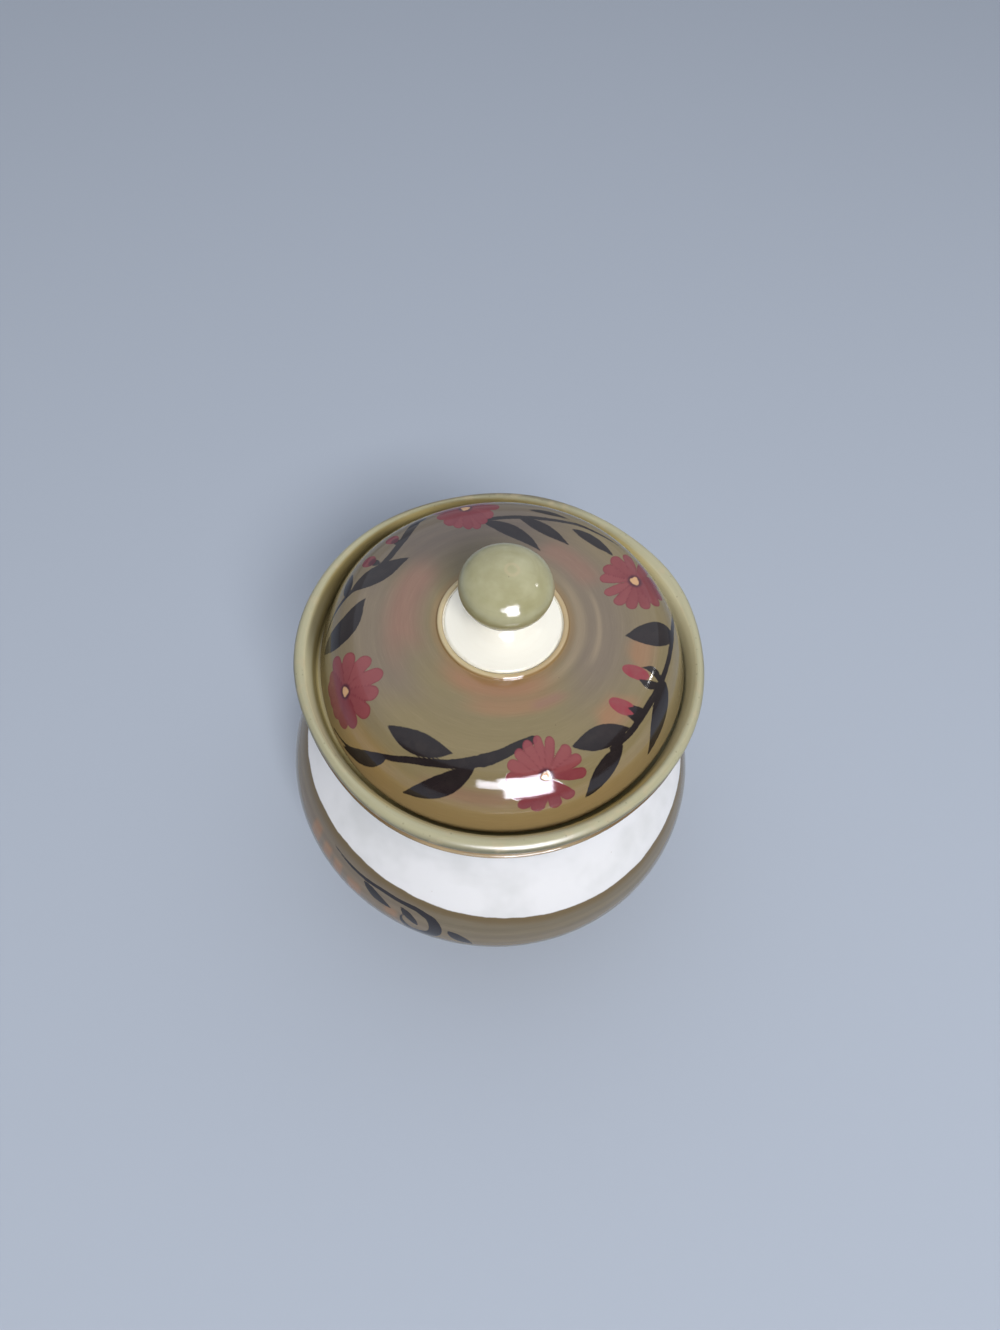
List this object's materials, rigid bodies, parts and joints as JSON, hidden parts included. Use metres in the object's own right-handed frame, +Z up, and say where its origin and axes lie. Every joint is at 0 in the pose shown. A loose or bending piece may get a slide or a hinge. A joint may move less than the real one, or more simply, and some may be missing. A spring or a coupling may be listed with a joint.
{
  "type": "lidded ceramic jar",
  "caption": "Round-bellied glazed pottery storage jar with a narrow neck, a rolled rim and a domed, knobbed lid that drops into the rim and lifts off.",
  "frame": {"origin": "centre of the bounding box's base, on the ground under the middle of the foot ring", "axes": "+Z up along the jar's axis; -Y towards the viewer of the painted lid's front flower"},
  "size_m": [0.2, 0.2, 0.219],
  "materials": {
    "jar_glaze": "glossy clear glaze over a brushed grey-brown belly, cream neck and sage green rim",
    "lid_glaze": "glossy clear glaze over brushed olive-brown washes with painted flowers and leaves",
    "knob_glaze": "glossy sage green glaze on the ball, cream glaze on the stem and foot"
  },
  "bodies": {
    "jar": {"jar_body": "jar_glaze"},
    "lid": {"lid": "lid_glaze", "lid_knob": "knob_glaze"}
  },
  "joints": [
    {"name": "lid_lift", "type": "slide", "parent": "jar", "child": "lid", "axis": [0, 0, 1], "range_m": [0, 0.15]}
  ]
}
